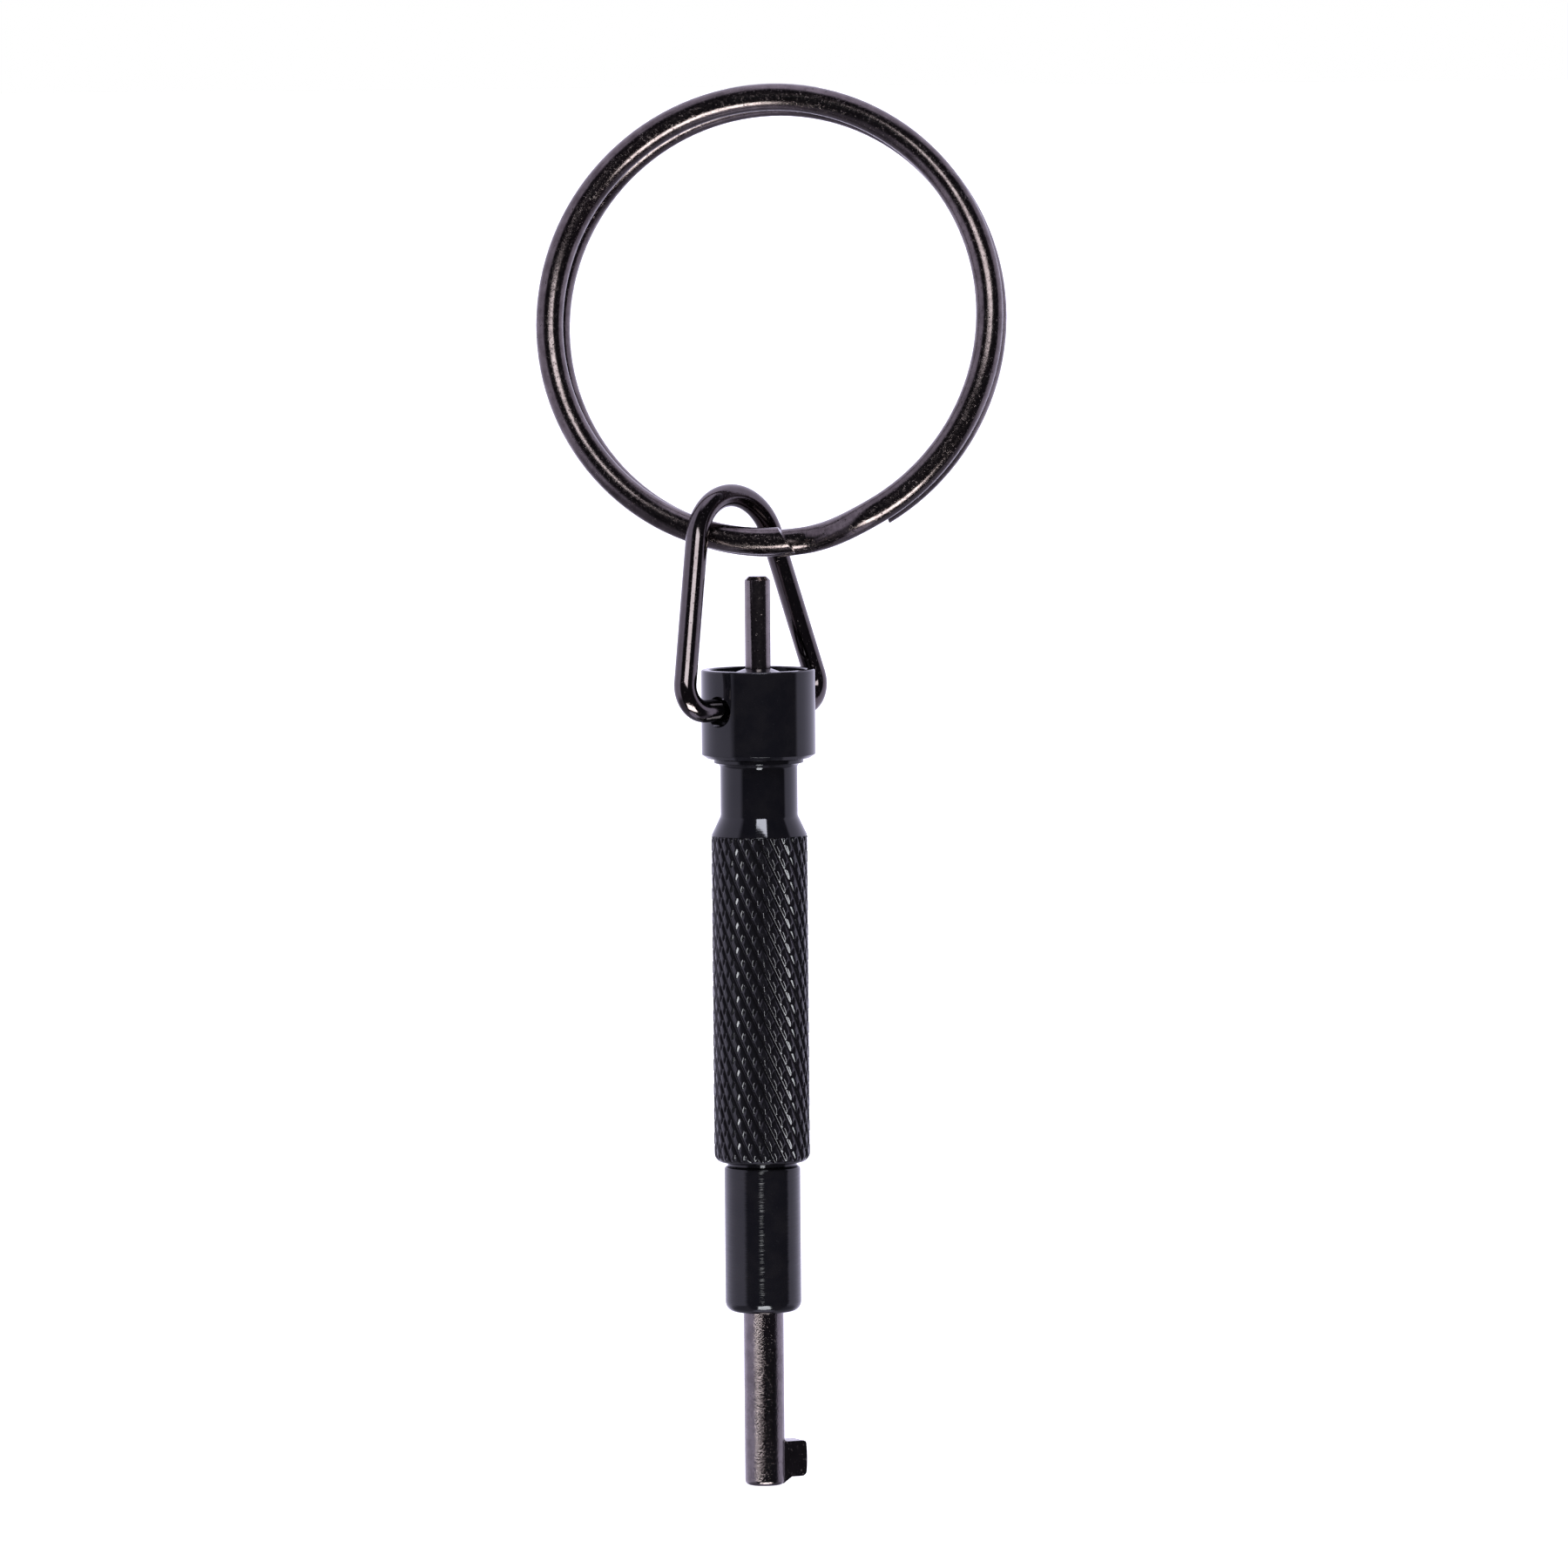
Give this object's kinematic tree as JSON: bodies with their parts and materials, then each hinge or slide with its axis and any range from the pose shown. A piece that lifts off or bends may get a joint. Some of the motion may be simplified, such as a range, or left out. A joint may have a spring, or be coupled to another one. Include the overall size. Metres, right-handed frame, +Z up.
{
  "type": "swivel handcuff key",
  "caption": "Pocket handcuff key: hollow barrel with a side bit, knurled black grip, double-lock pin, and a swivel collar whose wire bail carries a split ring.",
  "frame": {"origin": "centre of the key barrel's open tip, on the tool's axis", "axes": "+Z up the tool's axis from the key tip towards the split ring, -Y the front, +X to the right; the key's bit points 25 degrees behind +X"},
  "size_m": [0.038, 0.0169, 0.1131],
  "materials": {
    "anodised_aluminium": "black anodised, satin gloss",
    "knurled_aluminium": "black anodised diamond knurl, with a smooth cone, waist and stem",
    "plated_steel": "black-nickel plated, polished, with fine scratches",
    "ring_steel": "black-nickel plated spring wire, worn and scratched",
    "spring_steel": "plain bright"
  },
  "bodies": {
    "grip": {"grip_body": "knurled_aluminium", "nose_sleeve": "anodised_aluminium", "key_barrel": "plated_steel", "lock_pin": "plated_steel", "retaining_ring": "spring_steel", "thrust_washer": "spring_steel"},
    "collar": {"swivel_collar": "anodised_aluminium"},
    "bail": {"bail": "plated_steel"},
    "ring": {"split_ring": "ring_steel"}
  },
  "joints": [
    {"name": "collar_swivel", "type": "hinge", "parent": "grip", "child": "collar", "pos_m": [0, 0, 0.06285], "axis": [0, 0, 1], "continuous": true},
    {"name": "bail_swing", "type": "hinge", "parent": "collar", "child": "bail", "pos_m": [0, 0, 0.063], "axis": [-0.7071, -0.7071, 0], "range_deg": [-140, 135]},
    {"name": "ring_slide_round", "type": "hinge", "parent": "bail", "child": "ring", "pos_m": [0.00134, 0.00375, 0.09404], "axis": [-0.1879, -0.9667, 0.1736], "continuous": true}
  ]
}
